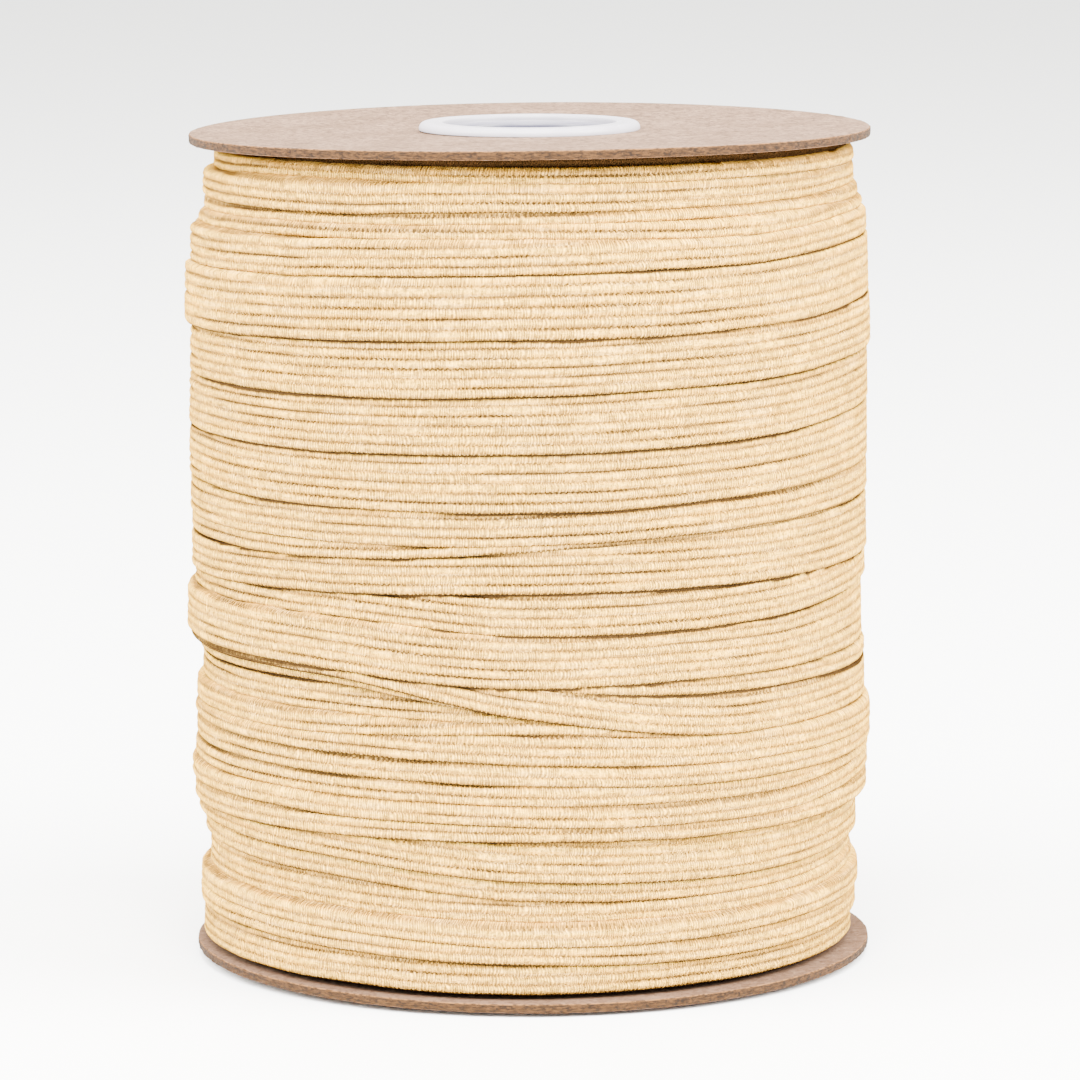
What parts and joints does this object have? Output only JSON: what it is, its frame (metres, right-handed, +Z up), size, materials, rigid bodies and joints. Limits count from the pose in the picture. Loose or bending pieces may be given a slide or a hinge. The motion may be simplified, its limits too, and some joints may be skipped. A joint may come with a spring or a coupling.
{
  "type": "roll of elastic",
  "caption": "Upright spool of flat ribbed elastic, wound between two round chipboard flanges on a hollow plastic hub.",
  "frame": {"origin": "centre of the bottom, on the plane of the lower hub rim that the spool stands on", "axes": "+Z up along the spool's axis, -Y towards the side that the picture shows"},
  "size_m": [0.0768, 0.0764, 0.0938],
  "materials": {
    "elastic_roll": "matt cream braid",
    "top_flange": "uncoated chipboard",
    "bottom_flange": "uncoated chipboard",
    "hub_top": "satin white moulding",
    "hub_bottom": "satin white moulding"
  },
  "bodies": {
    "root": {"elastic_roll": "elastic_roll", "top_flange": "top_flange", "bottom_flange": "bottom_flange", "hub_top": "hub_top", "hub_bottom": "hub_bottom"}
  },
  "joints": []
}
